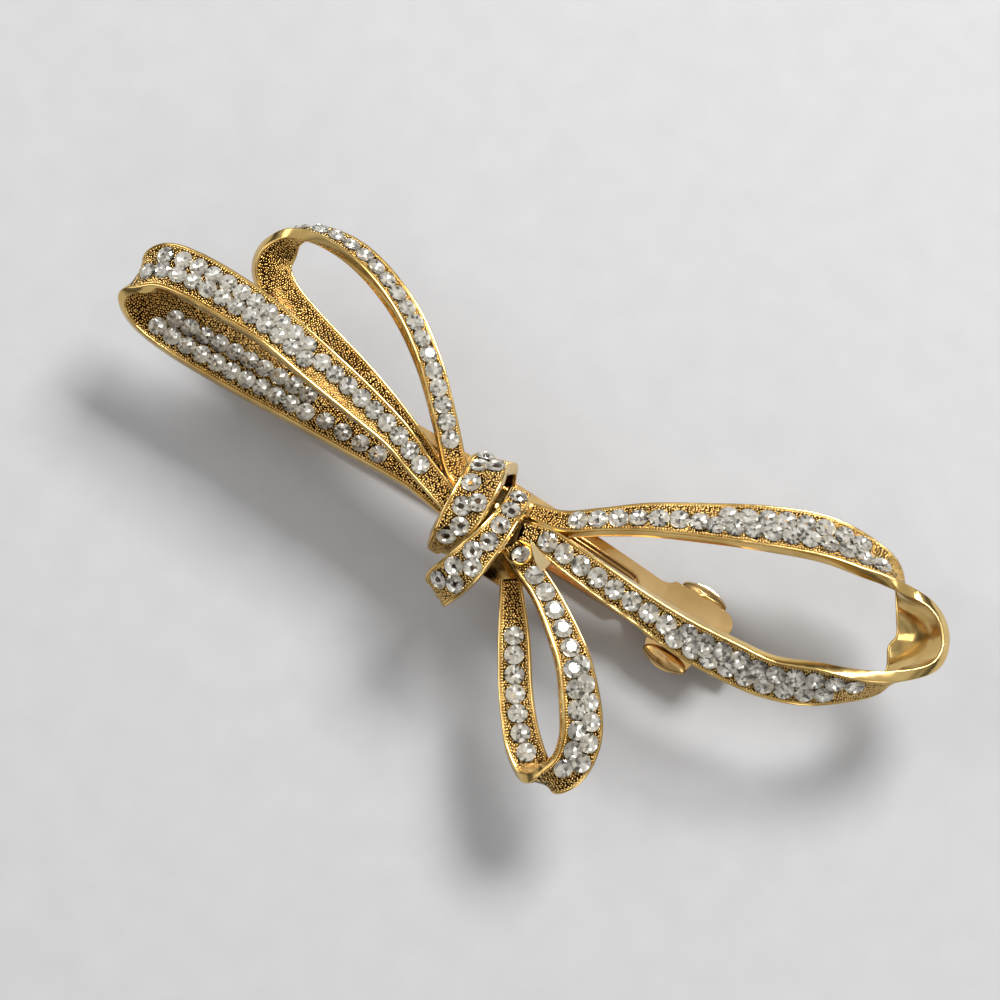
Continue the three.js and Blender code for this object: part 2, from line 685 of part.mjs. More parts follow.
function claspArm() {
  const half = armWidth / 2;
  const floor = acrossY(outline([
    [pinX, 0], [channelEnd, 0], [rampEnd, arm.frameHeight],
    [frameEnd, arm.frameHeight], [tabEnd, arm.frameHeight - arm.tabDrop],
    [tabEnd, arm.frameHeight - arm.tabDrop + arm.sheet],
    [frameEnd, arm.frameHeight + arm.sheet],
    [rampEnd - arm.sheet / 2, arm.frameHeight + arm.sheet],
    [channelEnd - arm.sheet / 2, arm.sheet], [pinX, arm.sheet],
  ]), -half, half);
  const wall = outline([
    [pinX, 0], [channelEnd - 1, 0], [channelEnd - 1, arm.sheet],
    [channelEnd - 2, arm.wallHeight], [pinX, arm.wallHeight],
  ]);
  const earShape = new THREE.Shape();
  earShape.moveTo(pinX - earRadius, pin.height);
  earShape.lineTo(pinX - earRadius, pin.height - 0.2);
  earShape.absarc(pinX, earRadius, earRadius, Math.PI, Math.PI * 1.5);
  earShape.lineTo(pinX + 2.5 * earRadius, 0);
  earShape.lineTo(pinX + 2.5 * earRadius, arm.wallHeight);
  earShape.lineTo(pinX + earRadius, pin.height);
  earShape.absarc(pinX, pin.height, earRadius, 0, Math.PI);
  let body = floor;
  for (const low of [-half, half - ear.sheet]) {
    body = body.add(acrossY(wall, low, low + ear.sheet));
    body = body.add(acrossY(earShape, low, low + ear.sheet, 8));
  }
  const window = raised(rectangle(
    claspX - clasp.windowLength / 2, claspX + clasp.windowLength / 2,
    -half + clasp.railWidth, half - clasp.railWidth), 1, 4);
  const springRoom = acrossY(disc(pinX, pin.height, pin.radius + 0.6), -springWidth / 2 - 0.2,
    springWidth / 2 + 0.2, 8);
  const hole = acrossY(disc(pinX, pin.height, pin.radius + fit.pinGap), -4, 4, 8);
  return geometryOf(body.subtract(window).subtract(springRoom).subtract(hole));
}

// A thin strip that curls round the pin and then follows the plate a little below it.
function tensionSpring() {
  const bore = pin.radius + fit.pinGap;
  const outer = bore + spring.curlWall;
  const steps = 12;
  const start = pinX + 4;
  const upper = [];
  const lower = [];
  for (let i = 0; i <= steps; i += 1) {
    const share = i / steps;
    const x = THREE.MathUtils.lerp(start, padStart - spring.fromPad, share);
    const drop = plate.sheet + THREE.MathUtils.lerp(spring.dropStart, spring.dropEnd, share);
    upper.push([x, archTop(x) - drop]);
    lower.push([x, archTop(x) - drop - spring.sheet]);
  }
  const curl = acrossY(disc(pinX, pin.height, outer), -springWidth / 2, springWidth / 2, 8);
  const strip = acrossY(outline([
    [pinX, pin.height + outer - spring.sheet], ...lower, ...upper.reverse(),
    [pinX, pin.height + outer],
  ]), -springWidth / 2, springWidth / 2);
  const hole = acrossY(disc(pinX, pin.height, bore), -4, 4, 8);
  return geometryOf(curl.add(strip).subtract(hole));
}

function claspSaddle() {
  const top = padUnderside - fit.sheetGap;
  const left = claspX - clasp.webLength / 2;
  const web = raised(roundedRectangle(
    left, left + clasp.webLength, -clasp.webWidth / 2, clasp.webWidth / 2, 0.4),
  top - clasp.webSheet, top);
  const hole = raised(disc(claspX, 0, clasp.rivetRadius + fit.sheetGap), 0, 9, 8);
  return geometryOf(web.subtract(hole));
}

// One wing: a prong with a barb that hooks under the arm's rail, and a finger lobe outside.
function claspWing(side) {
  const window = armWidth / 2 - clasp.railWidth;
  const face = window - fit.sideGap;
  const back = face - clasp.prongSheet;
  const barb = window + clasp.barbReach;
  const top = padUnderside - clasp.webSheet - 3 * fit.sheetGap;
  const barbTop = arm.frameHeight - fit.barbGap;
  const prong = alongX(outline([
    [back, clasp.prongBottom], [face - 0.1, clasp.prongBottom], [barb, barbTop - 0.1],
    [face, barbTop], [face, top - 0.3], [back, top - 0.3],
  ]), claspX - clasp.prongLength / 2, claspX + clasp.prongLength / 2);
  const reach = (padWidth / 2 + lobe.reach - back) / Math.cos(rad(lobe.dip));
  const half = lobe.length / 2;
  const shape = new THREE.Shape();
  shape.moveTo(-clasp.prongLength / 2, 0);
  shape.lineTo(clasp.prongLength / 2, 0);
  shape.quadraticCurveTo(clasp.prongLength / 2 + 0.1, reach * 0.3, half, reach * 0.45);
  shape.absellipse(0, reach * 0.45, half, reach * 0.55, 0, Math.PI);
  shape.quadraticCurveTo(-clasp.prongLength / 2 - 0.1, reach * 0.3, -clasp.prongLength / 2, 0);
  const hole = new THREE.Path();
  hole.absarc(0, lobe.holeInset, lobe.holeRadius, 0, Math.PI * 2, true);
  shape.holes.push(hole);
  const geometry = new THREE.ExtrudeGeometry(
    shape, { depth: lobe.sheet, bevelEnabled: false, curveSegments: 8 });
  geometry.rotateX(rad(-lobe.dip)).translate(claspX, back, top - lobe.sheet);
  const wing = geometryOf(prong.add(solid(geometry)));
  if (side < 0) {
    wing.translate(-claspX, 0, 0).rotateZ(Math.PI).translate(claspX, 0, 0);
  }
  return wing;
}

// ---- the assembly ----
const group = new THREE.Group();

function add(name, geometry, finish) {
  const mesh = new THREE.Mesh(geometry, new THREE.MeshStandardMaterial(finish));
  mesh.name = name;
  group.add(mesh);
}

add('top_plate', topPlate(), gold);
add('hinge_pin', hingePin(), gold);
add('clasp_arm', claspArm(), gold);
add('tension_spring', tensionSpring(), gold);
add('clasp_saddle', claspSaddle(), gold);
add('clasp_rivet', claspRivet(), gold);
add('clasp_wing_left', claspWing(1), gold);
add('clasp_wing_right', claspWing(-1), gold);
add('bow_backplate', bowBackplate(), gold);
add('knot_core', knotCore(), gold);
add('corner_lozenge', cornerLozenge(), polishedGold);
add('stone_cup', stoneCup(), gold);
add('stone_in_cup', cupStone(), crystal);
for (const name of Object.keys(loops)) {
  add(name, ribbonStrip(name), gold);
}
for (const [name, strip] of Object.entries(stoneStrips)) {
  add(name, stoneStrip(strip), crystal);
}
for (const [band, { places }] of Object.entries(knotStones)) {
  places.forEach((place, i) => {
    const side = band.replace('knot_band_', '');
    add(`knot_${side}_stone_${i + 1}`, knotStone(band, place), crystal);
  });
}

// The origin is the centre of the whole clip's footprint, on the surface that it stands on.
const box = new THREE.Box3().setFromObject(group);
const footprint = box.getCenter(new THREE.Vector3());
group.position.set(-footprint.x, -footprint.y, -box.min.z);

export default group;
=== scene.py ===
"""Looks for the rhinestone hair clip: a gold bow set with clear stones, on a sprung barrette.

The shapes follow the same stations as the CAD part, in millimetres along the clip, and every
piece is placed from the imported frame.
"""

import math

import bpy
import numpy as np
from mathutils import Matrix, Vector


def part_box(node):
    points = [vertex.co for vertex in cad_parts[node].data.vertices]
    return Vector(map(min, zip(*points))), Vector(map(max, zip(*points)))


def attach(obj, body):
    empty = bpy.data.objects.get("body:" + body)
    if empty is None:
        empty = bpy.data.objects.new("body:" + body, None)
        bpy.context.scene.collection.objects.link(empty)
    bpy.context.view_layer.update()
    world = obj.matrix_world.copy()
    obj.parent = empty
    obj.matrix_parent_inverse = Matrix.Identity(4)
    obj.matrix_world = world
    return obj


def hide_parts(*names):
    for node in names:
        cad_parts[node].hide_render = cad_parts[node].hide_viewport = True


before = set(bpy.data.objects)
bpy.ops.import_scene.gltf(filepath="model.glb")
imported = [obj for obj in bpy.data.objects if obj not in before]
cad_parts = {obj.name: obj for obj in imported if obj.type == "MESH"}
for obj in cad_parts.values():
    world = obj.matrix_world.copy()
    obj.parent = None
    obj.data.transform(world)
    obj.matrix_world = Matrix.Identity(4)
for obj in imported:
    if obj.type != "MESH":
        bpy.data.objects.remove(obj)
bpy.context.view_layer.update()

MM = 0.001
rng = np.random.default_rng(7)

# ---- places read from the frame, in millimetres ----
pin_low, pin_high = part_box("hinge_pin")
arm_low, arm_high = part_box("clasp_arm")
plate_low, plate_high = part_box("bow_backplate")
PIN_X = -29.0
SHIFT = np.array([
    (pin_low.x + pin_high.x) / 2 / MM - PIN_X,
    (arm_low.y + arm_high.y) / 2 / MM,
    arm_low.z / MM,
])
SEAT = plate_high.z / MM - SHIFT[2]

# ---- the clip's dimensions, in millimetres ----
CROWN_X, CROWN_HEIGHT, HINGE_HEIGHT = -3.0, 8.5, 4.3
PAD_START, CLASP_X = 20.0, 23.5
GROOVE_START, GROOVE_END, GROOVE_HALF, RIB_HALF, GROOVE_DEPTH = -24.0, 17.5, 1.4, 0.45, 0.2
LOBE_HALF, LOBE_DIP = 2.8, 18.0

# ---- the bow's dimensions, in millimetres ----
KNOT = (1.0, -4.5)
BOW_RISE = 6.5
RIBBON_WIDTH = 5.6
RIM = 0.28
RIM_HALF = 0.65
FLOOR_HALF = 0.45
BED_GAP = 0.08
LEFT_STONE, RIGHT_STONE, CENTRE_STONE = 1.7, 1.88, 1.8

# ---- the looks' own dimensions, in millimetres ----
ROUND_RIM = 0.34
RING_STEP = 0.3
BEAD_RADIUS, BEAD_PITCH = 0.14, 0.30
GRAIN_PITCH, GRAIN_LEVEL = 0.29, 0.44
END_MARGIN = 0.2
GIRDLE_LIFT = 0.30
STONE_GROWTH = 1.15
LOOP_STONE_SEAT, KNOT_STONE_SEAT = 0.46, 0.40
CUP_DISTANCE, CUP_STONE_RADIUS, CUP_STONE_SEAT = 2.3, 0.86, 1.02
DOME_ROOT, DOME_MARGIN, DOME_RISE, CREASE_DEPTH = 3.0, 0.12, 0.55, 0.12

# Stations: along and across the loop, height, turn, slope and width, as in the CAD part.
LOOPS = {
    "left_loop": {
        "axis": 175.6, "length": 45.3, "breadth": 5.2,
        "stations": [
            (0.075, -0.05, 0.46, -90, 9, 0.42),
            (0.107, -0.09, 0.52, -91, 9, 0.44),
            (0.2, -0.26, 0.65, -96, 5, 0.5),
            (0.286, -0.45, 0.77, -90, 4, 0.58),
            (0.4, -0.54, 0.89, -88, 0, 0.7),
            (0.515, -0.61, 0.96, -89, -4, 0.78),
            (0.657, -0.71, 0.97, -86, -9, 0.84),
            (0.771, -0.7, 0.93, -83, -8, 0.93),
            (0.889, -0.61, 0.86, -80, -7, 0.95),
            (0.965, -0.43, 0.73, -79, -5, 0.96),
            (0.995, -0.05, 0.45, -80, -2, 0.98),
            (0.956, 0.21, 0.19, -86, -1, 1),
            (0.865, 0.2, 0.1, -89, -3, 1.11),
            (0.699, 0.02, 0.06, -88, -5, 1.2),
            (0.544, -0.13, 0.06, -88, -5, 1.14),
            (0.367, -0.14, 0.08, -90, -3, 0.8),
            (0.214, -0.12, 0.15, -90, 4, 0.49),
            (0.121, -0.03, 0.18, -90, 7, 0.38),
            (0.085, 0, 0.18, -90, 7, 0.36),
        ],
    },
    "narrow_loop": {
        "axis": 159.7, "length": 37.3, "breadth": 8.9,
        "stations": [
            (0.14, -0.19, 0.37, -100, -9, 0.4),
            (0.196, -0.23, 0.41, -104, -9, 0.45),
            (0.307, -0.44, 0.57, -116, -13, 0.46),
            (0.469, -0.71, 0.69, -120, -21, 0.49),
            (0.639, -0.87, 0.71, -98, -31, 0.55),
            (0.819, -0.86, 0.65, -68, -41, 0.62),
            (0.945, -0.68, 0.57, -60, -54, 0.62),
            (1, -0.42, 0.49, -100, -66, 0.62),
            (0.998, -0.17, 0.41, -144, -42, 0.7),
            (0.982, 0, 0.35, -137, -28, 0.74),
            (0.946, 0.09, 0.29, -122, -20, 0.74),
            (0.88, 0.13, 0.23, -108, -13, 0.72),
            (0.751, 0.1, 0.21, -95, -6, 0.7),
            (0.588, 0.01, 0.2, -93, -2, 0.62),
            (0.443, -0.04, 0.2, -84, -2, 0.54),
            (0.3, -0.06, 0.18, -83, 0, 0.41),
            (0.225, -0.05, 0.16, -83, 0, 0.32),
        ],
    },
    "right_loop": {
        "axis": 17.7, "length": 47, "breadth": 15.6,
        "stations": [
            (0.096, 0.21, 0.28, 110, -18, 0.36),
            (0.173, 0.19, 0.36, 114, -19, 0.46),
            (0.256, 0.26, 0.43, 112, -20, 0.52),
            (0.358, 0.35, 0.48, 106, -21, 0.66),
            (0.486, 0.425, 0.5, 97, -22, 0.8),
            (0.61, 0.487, 0.5, 95, -21, 0.92),
            (0.736, 0.52, 0.46, 97, -24, 0.98),
            (0.836, 0.478, 0.37, 89, -36, 0.97),
            (0.904, 0.403, 0.31, 81, -54, 0.83),
            (0.969, 0.227, 0.18, -164, -51, 0.87),
            (0.998, 0.074, 0.14, -177, -40, 1.1),
            (0.992, -0.085, 0.18, 166, -40, 1.2),
            (0.963, -0.246, 0.22, 177, -70, 0.99),
            (0.909, -0.353, 0.26, -123, -78, 0.96),
            (0.803, -0.441, 0.34, -118, -48, 0.92),
            (0.695, -0.475, 0.35, -104, -45, 0.85),
            (0.593, -0.427, 0.38, -107, -39, 0.83),
            (0.493, -0.355, 0.4, -109, -36, 0.77),
            (0.393, -0.25, 0.42, -107, -31, 0.66),
            (0.287, -0.132, 0.42, -105, -24, 0.62),
            (0.209, -0.036, 0.39, -107, -19, 0.58),
            (0.142, 0.05, 0.34, -106, -18, 0.52),
            (0.085, 0.08, 0.28, -106, -18, 0.4),
        ],
    },
    "small_loop": {
        "axis": -43.6, "length": 27.3, "breadth": 6.7,
        "stations": [
            (0.09, 0.38, 0.32, 100, -4, 0.38),
            (0.172, 0.51, 0.5, 104, -4, 0.46),
            (0.315, 0.7, 0.58, 96, -8, 0.49),
            (0.494, 0.82, 0.65, 90, -12, 0.6),
            (0.624, 0.85, 0.65, 88, -17, 0.68),
            (0.783, 0.78, 0.59, 80, -20, 0.78),
            (0.888, 0.658, 0.51, 69, -20, 0.78),
            (0.969, 0.392, 0.37, 58, -20, 0.72),
            (0.985, 0.043, 0.22, 58, -16, 0.66),
            (0.931, -0.104, 0.09, 72, -9, 0.66),
            (0.837, -0.163, 0.08, 78, -3, 0.69),
            (0.73, -0.14, 0.08, 78, 0, 0.66),
            (0.61, -0.07, 0.08, 74, 0, 0.64),
            (0.427, 0.09, 0.1, 74, -2, 0.6),
            (0.288, 0.2, 0.15, 68, -2, 0.48),
            (0.2, 0.26, 0.17, 62, -3, 0.4),
        ],
    },
    "knot_band_upper": {
        "axis": 0, "length": 1, "breadth": 1,
        "stations": [
            (-1.6, 5.6, 0.1, 25, 0, 0.7),
            (-2.3, 6.9, 0.35, 16, 0, 0.72),
            (-2.7, 5.8, 0.74, 21, 0, 0.77),
            (-2.25, 3.9, 1, 28, 3, 0.79),
            (-1.95, 1.5, 1.1, 32, 3, 0.78),
            (-1.95, -0.7, 1.06, 32, 3, 0.73),
            (-2.2, -2.6, 0.88, 27, 3, 0.64),
            (-2.6, -3.6, 0.48, 20, 0, 0.5),
            (-2.2, -3.3, 0.12, 20, 0, 0.44),
        ],
    },
    "knot_band_lower": {
        "axis": 0, "length": 1, "breadth": 1,
        "stations": [
            (1.3, 4.6, 0.12, 14, 0, 0.44),
            (1.4, 5.3, 0.42, 14, 0, 0.46),
            (1.9, 3.6, 0.76, 14, 0, 0.48),
            (2.05, 1.6, 0.95, 17, 0, 0.5),
            (1.95, -0.9, 1.06, 14, 0, 0.57),
            (1.55, -3.3, 1.04, 3, 0, 0.66),
            (0.9, -5.5, 0.88, -10, 0, 0.74),
            (0.05, -7.1, 0.6, -20, 0, 0.74),
            (-0.3, -7.6, 0.3, -24, 0, 0.64),
            (0.2, -6.6, 0.08, -24, 0, 0.5),
        ],
    },
}

# Rows of stones: the strip and face that they are on, their diameter, and for each row
# its first and last place as shares of the length, their number, and their place across.
STONE_ROWS = {
    "left_upper_stones": ("left_loop", -1, LEFT_STONE, [
        (0.0679, 0.237, 9, 0.4),
        (0.2646, 0.4694, 11, 0.7),
        (0.2554, 0.4878, 12, -0.5),
    ]),
    "left_lower_stones": ("left_loop", 1, LEFT_STONE, [
        (0.5706, 0.7823, 11, -0.75),
        (0.5833, 0.7719, 10, 0.2),
        (0.8087, 0.8858, 4, -0.57),
    ]),
    "narrow_stones": ("narrow_loop", -1, LEFT_STONE, [
        (0.0711, 0.5049, 17, -0.3),
    ]),
    "right_upper_stones": ("right_loop", 1, RIGHT_STONE, [
        (0.0548, 0.1874, 7, -0.4),
        (0.2053, 0.3938, 10, -0.67),
        (0.219, 0.3643, 8, 0.6),
    ]),
    "right_lower_stones": ("right_loop", 1, RIGHT_STONE, [
        (0.5917, 0.7823, 10, -0.83),
        (0.6223, 0.7918, 9, 0.62),
        (0.8076, 0.9655, 8, -0.4),
    ]),
    "small_front_stones": ("small_loop", 1, CENTRE_STONE, [
        (0.0907, 0.2602, 5, -0.1),
        (0.3036, 0.5125, 6, -0.75),
        (0.2976, 0.4869, 6, 0.85),
    ]),
    "small_back_stones": ("small_loop", -1, CENTRE_STONE, [
        (0.6367, 0.8811, 7, -0.1),
    ]),
}

# Single stones on the knot: share of the band's length, and place across it.
KNOT_STONES = {
    "knot_band_upper": (CENTRE_STONE, [
        (0.22, -0.9), (0.325, -0.8), (0.305, 1), (0.451, -0.8),
        (0.531, 0.9), (0.581, -0.5), (0.666, 0.6), (0.741, -0.5),
    ]),
    "knot_band_lower": (CENTRE_STONE, [
        (0.196, 0.4), (0.303, 0.2), (0.405, 0.3), (0.499, 0.4),
        (0.578, -0.8), (0.629, 1), (0.69, -0.9), (0.741, 0.9),
        (0.806, -0.8),
    ]),
}


# ---- ribbons ----
def spline(points, t):
    """A uniform Catmull-Rom curve through points, and its direction, at t from 0 to 1."""
    count = len(points)
    u = np.clip(t, 0, 1) * (count - 1)
    i = np.clip(np.floor(u).astype(int), 0, count - 2)
    f = (u - i)[:, None]
    more = np.vstack([2 * points[0] - points[1], points, 2 * points[-1] - points[-2]])
    p0, p1, p2, p3 = more[i], more[i + 1], more[i + 2], more[i + 3]
    v0 = (p2 - p0) / 2
    v1 = (p3 - p1) / 2
    a = 2 * p1 - 2 * p2 + v0 + v1
    b = -3 * p1 + 3 * p2 - 2 * v0 - v1
    return ((a * f + b) * f + v0) * f + p1, (3 * a * f + 2 * b) * f + v0


class Strip:
    """A ribbon's path: its centre, direction, width direction, normal and half width."""

    def __init__(self, axis, length, breadth, stations):
        heading = math.radians(axis)
        along = np.array([math.cos(heading), math.sin(heading)])
        centres, widths = [], []
        for part, aside, height, turn, slope, wide in stations:
            centres.append([
                KNOT[0] + part * length * along[0] - aside * breadth * along[1],
                KNOT[1] + part * length * along[1] + aside * breadth * along[0],
                SEAT + height * BOW_RISE,
            ])
            way = math.radians(axis + turn)
            level = math.cos(math.radians(slope))
            width = np.array([
                math.cos(way) * level, math.sin(way) * level, math.sin(math.radians(slope))])
            widths.append(width * wide * RIBBON_WIDTH)
        self.centres = np.array(centres) + SHIFT
        self.widths = np.array(widths)
        self.t = np.linspace(0, 1, 4001)
        points, _ = spline(self.centres, self.t)
        steps = np.linalg.norm(np.diff(points, axis=0), axis=1)
        self.travelled = np.concatenate([[0], np.cumsum(steps)])
        self.length = self.travelled[-1]

    def at(self, distance):
        t = np.interp(distance, self.travelled, self.t)
        centre, tangent = spline(self.centres, t)
        tangent = tangent / np.linalg.norm(tangent, axis=1)[:, None]
        across, _ = spline(self.widths, t)
        half = np.linalg.norm(across, axis=1) / 2
        across = across - (across * tangent).sum(1)[:, None] * tangent
        across = across / np.linalg.norm(across, axis=1)[:, None]
        return centre, tangent, across, np.cross(tangent, across), half


strips = {name: Strip(**loop) for name, loop in LOOPS.items()}


# ---- meshes ----
class Mesh:
    """Gathers points and faces, in millimetres, for one Blender mesh."""

    def __init__(self):
        self.points, self.values, self.faces, self.slots, self.tones = [], [], [], [], []
        self.count = 0

    def add(self, points, faces, values=None, slot=0, tones=None):
        faces = np.asarray(faces, int) + self.count
        self.points.append(np.asarray(points, float))
        self.values.append(np.zeros(len(points)) if values is None else np.asarray(values))
        self.faces.append(faces)
        self.slots.append(np.full(len(faces), slot))
        self.tones.append(np.ones(len(faces)) if tones is None else np.asarray(tones))
        self.count += len(points)

    def piece(self, name, materials, body="clip", smooth=True):
        mesh = bpy.data.meshes.new(name)
        points = np.concatenate(self.points) * MM
        mesh.vertices.add(len(points))
        mesh.vertices.foreach_set("co", points.ravel())
        sizes = np.concatenate([np.full(len(f), f.shape[1]) for f in self.faces])
        corners = np.concatenate([f.ravel() for f in self.faces])
        mesh.loops.add(len(corners))
        mesh.loops.foreach_set("vertex_index", corners)
        mesh.polygons.add(len(sizes))
        mesh.polygons.foreach_set("loop_start", np.concatenate([[0], np.cumsum(sizes)[:-1]]))
        mesh.polygons.foreach_set("material_index", np.concatenate(self.slots))
        mesh.polygons.foreach_set("use_smooth", np.full(len(sizes), smooth))
        # Per point: how far the gold darkens to patina with painted shade.
        patina_shade_mask = mesh.attributes.new("patina_shade_mask", "FLOAT", "POINT")
        patina_shade_mask.data.foreach_set("value", np.concatenate(self.values))
        # Per face: the painted glints and shade of stone facets; 1 on all other faces.
        tone_and_glint = mesh.attributes.new("tone_and_glint", "FLOAT", "FACE")
        tone_and_glint.data.foreach_set("value", np.concatenate(self.tones))
        mesh.update(calc_edges=True)
        mesh.validate()
        obj = bpy.data.objects.new(name, mesh)
        bpy.context.scene.collection.objects.link(obj)
        for material in materials:
            mesh.materials.append(material)
        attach(obj, body)
        return obj


def sweep_faces(rings, around):
    """Quads that join rings of points one after another, closed round each ring."""
    i, j = np.meshgrid(np.arange(rings - 1), np.arange(around), indexing="ij")
    here = (i * around + j).ravel()
    beside = (i * around + (j + 1) % around).ravel()
    return np.stack([here, beside, beside + around, here + around], axis=1)


def ribbon_section(rim):
    """The ribbon's section as rows of (side, inset, height, darkening): its point across is
    side * half + inset. Two round-topped rims are joined by a thin web, whose floor is darkened
    with patina and painted shade."""
    points = []
    crown = rim / 2
    arc = np.linspace(0, math.pi, 7)
    for side in (1, -1):
        rise = RIM_HALF - crown * 0.8
        for angle in arc:
            inset = -side * (crown - crown * math.cos(angle))
            points.append((side, inset, side * (rise + 0.8 * crown * math.sin(angle)), 0.0))
        # Web floor points: 0.6 and 1.0 darken the gold with patina and the painted shade of the
        # recess.
        points.append((side, -side * (rim + 0.02), side * (FLOOR_HALF + 0.08), 0.6))
        points.append((side, -side * (rim + 0.12), side * FLOOR_HALF, 1.0))
        points.append((-side, side * (rim + 0.12), side * FLOOR_HALF, 1.0))
        points.append((-side, side * (rim + 0.02), side * (FLOOR_HALF + 0.08), 0.6))
        for angle in arc:
            inset = side * (crown + crown * math.cos(angle))
            points.append((-side, inset, side * (rise + 0.8 * crown * math.sin(angle)), 0.0))
    return points


def ribbon_mesh(strip, smooth_face=0):
    """smooth_face is the face, 1 or -1, whose floor is polished and bare of patina and painted
    shade.
    """
    distances = np.linspace(0, strip.length, int(strip.length / RING_STEP))
    centre, tangent, across, normal, half = strip.at(distances)
    section = ribbon_section(ROUND_RIM)
    side, inset, height, patina_shade_mask = (np.array(column) for column in zip(*section))
    a = side[None, :] * half[:, None] + inset[None, :]
    bare = np.where(height * smooth_face > 0, 0.0, patina_shade_mask)
    points = (centre[:, None] + a[..., None] * across[:, None]
              + height[None, :, None] * normal[:, None])
    around = len(section)
    rings = len(distances)
    mesh = Mesh()
    mesh.add(points.reshape(-1, 3), sweep_faces(rings, around), np.tile(bare, rings))
    for ring, flip in ((0, True), (rings - 1, False)):
        middle = points[ring].mean(0)
        corners = np.vstack([points[ring], middle])
        j = np.arange(around)
        fan = np.stack([j, (j + 1) % around, np.full(around, around)], axis=1)
        mesh.add(corners, fan[:, ::-1] if flip else fan)
    return mesh


def ball():
    """A small round grain: an octahedron split once, as points and triangles."""
    points = [(1, 0, 0), (-1, 0, 0), (0, 1, 0), (0, -1, 0), (0, 0, 1), (0, 0, -1)]
    faces = [(0, 2, 4), (2, 1, 4), (1, 3, 4), (3, 0, 4), (2, 0, 5), (1, 2, 5), (3, 1, 5), (0, 3, 5)]
    points = [np.array(p, float) for p in points]
    middle = {}
    split = []
    for a, b, c in faces:
        ring = []
        for one, other in ((a, b), (b, c), (c, a)):
            key = (min(one, other), max(one, other))
            if key not in middle:
                middle[key] = len(points)
                between = points[one] + points[other]
                points.append(between / np.linalg.norm(between))
            ring.append(middle[key])
        ab, bc, ca = ring
        split += [(a, ab, ca), (ab, b, bc), (ca, bc, c), (ab, bc, ca)]
    return np.array(points), np.array(split)


BALL_POINTS, BALL_FACES = ball()


def add_grains(mesh, centres, ups, radii, foot_patina_shade):
    """Grains at centres. The last argument sets how dark each grain's lower side turns: patina with
    painted shade under the grain.
    """
    count = len(centres)
    shape = len(BALL_POINTS)
    points = centres[:, None] + radii[:, None, None] * BALL_POINTS[None]
    # Lower sides of the grains darken: painted shade under each grain, with patina.
    rise = (BALL_POINTS[None] * ups[:, None]).sum(2)
    patina_shade_mask = np.clip(0.45 - rise, 0, 1) * foot_patina_shade
    faces = BALL_FACES[None] + (np.arange(count) * shape)[:, None, None]
    mesh.add(points.reshape(-1, 3), faces.reshape(-1, 3), patina_shade_mask.ravel())


def stone_places(name):
    """Each stone of a row set as (distance, offset, radius)."""
    on, face, diameter, rows = STONE_ROWS[name]
    strip = strips[on]
    places = []
    for start, end, count, row in rows:
        distances = np.linspace(start, end, count) * strip.length
        half = strip.at(distances)[4]
        room = half - RIM - BED_GAP - diameter / 2
        places += [(d, row * r, diameter / 2) for d, r in zip(distances, room)]
    return strip, face, places


def knot_places(name):
    diameter, singles = KNOT_STONES[name]
    strip = strips[name]
    distances = np.array([share for share, _ in singles]) * strip.length
    room = strip.at(distances)[4] - RIM - BED_GAP - diameter / 2
    return strip, 1, [
        (d, row * r, diameter / 2) for d, (_, row), r in zip(distances, singles, room)]


def add_milgrain(mesh, strip, face, start, end):
    """A line of beads along the inside of each rim of one face."""
    for side in (1, -1):
        distances = np.arange(start, end, BEAD_PITCH)
        centre, tangent, across, normal, half = strip.at(distances)
        wide = half > 0.9
        a = side * (half - ROUND_RIM - BEAD_RADIUS * 0.8)
        b = face * (RIM_HALF - 0.12)
        points = centre + a[:, None] * across + b * normal
        radii = BEAD_RADIUS * rng.uniform(0.9, 1.1, len(points))
        add_grains(mesh, points[wide], face * normal[wide], radii[wide], 0.9)


def add_granules(mesh, strip, face, start, end, stones):
    """Grains scattered over one face's floor, between the stones."""
    rows = np.arange(start, end, GRAIN_PITCH * 0.87)
    places = []
    for k, distance in enumerate(rows):
        half = strip.at(np.array([distance]))[4][0]
        reach = half - ROUND_RIM - 0.16
        if reach <= 0:
            continue
        shift = GRAIN_PITCH / 2 if k % 2 else 0
        aside = np.arange(-reach, reach + 1e-6, GRAIN_PITCH) + shift
        places += [(distance, a) for a in aside if a <= reach + 0.05]
    places = np.array(places)
    places += rng.uniform(-0.06, 0.06, places.shape)
    radii = rng.uniform(0.10, 0.17, len(places))
    free = np.ones(len(places), bool)
    for distance, offset, radius in stones:
        far = np.hypot(places[:, 0] - distance, places[:, 1] - offset)
        free &= far > radius * 0.86
    places, radii = places[free], radii[free]
    centre, tangent, across, normal, half = strip.at(places[:, 0])
    b = face * (GRAIN_LEVEL + rng.uniform(-0.05, 0.05, len(places)))
    points = centre + places[:, 1:] * across + b[:, None] * normal
    add_grains(mesh, points, face * normal, radii, 1.0)


